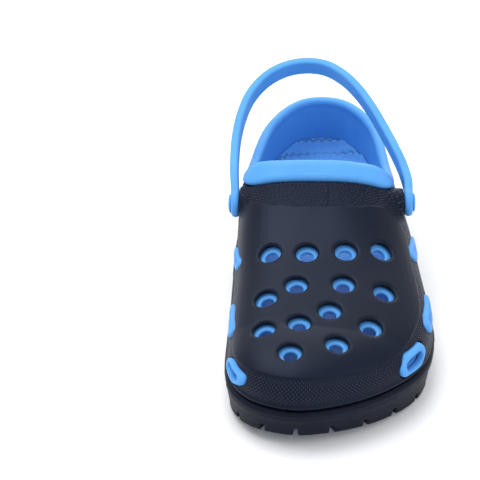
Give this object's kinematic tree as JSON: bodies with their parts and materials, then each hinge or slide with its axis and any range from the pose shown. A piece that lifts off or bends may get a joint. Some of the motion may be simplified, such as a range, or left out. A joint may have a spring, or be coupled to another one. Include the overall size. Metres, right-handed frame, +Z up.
{
  "type": "garden clog",
  "caption": "Left moulded foam garden clog: dark perforated upper and lugged sole over a light blue lining shoe, with a swinging heel strap, side vents and tread pads.",
  "frame": {"origin": "middle of the overall box on the floor the clog stands on", "axes": "+Z up, toe towards -Y, heel towards +Y, inner (medial) side towards -X, outer (lateral) side towards +X"},
  "size_m": [0.121, 0.2882, 0.0977],
  "materials": {
    "navy_foam": "satin moulded foam, textured bands",
    "blue_foam": "satin moulded foam"
  },
  "bodies": {
    "clog": {"upper_shell": "navy_foam", "outsole": "navy_foam", "inner_liner": "blue_foam", "footbed": "blue_foam", "strap_rivet_medial": "blue_foam", "strap_rivet_lateral": "blue_foam", "rivet_cap_medial": "blue_foam", "rivet_cap_lateral": "blue_foam", "side_vent_medial_front": "blue_foam", "side_vent_medial_middle": "blue_foam", "side_vent_medial_rear": "blue_foam", "side_vent_lateral_front": "blue_foam", "side_vent_lateral_middle": "blue_foam", "side_vent_lateral_rear": "blue_foam", "tread_pad_toe_medial": "blue_foam", "tread_pad_toe_lateral": "blue_foam", "tread_pad_ball_medial": "blue_foam", "tread_pad_ball_lateral": "blue_foam", "tread_pad_heel_medial": "blue_foam", "tread_pad_heel_lateral": "blue_foam"},
    "strap": {"heel_strap": "blue_foam"}
  },
  "joints": [
    {"name": "strap_swing", "type": "hinge", "parent": "clog", "child": "strap", "pos_m": [-0.00465, 0.01297, 0.0575], "axis": [0.9991, 0, 0.0414], "range_deg": [-6, 159]}
  ]
}
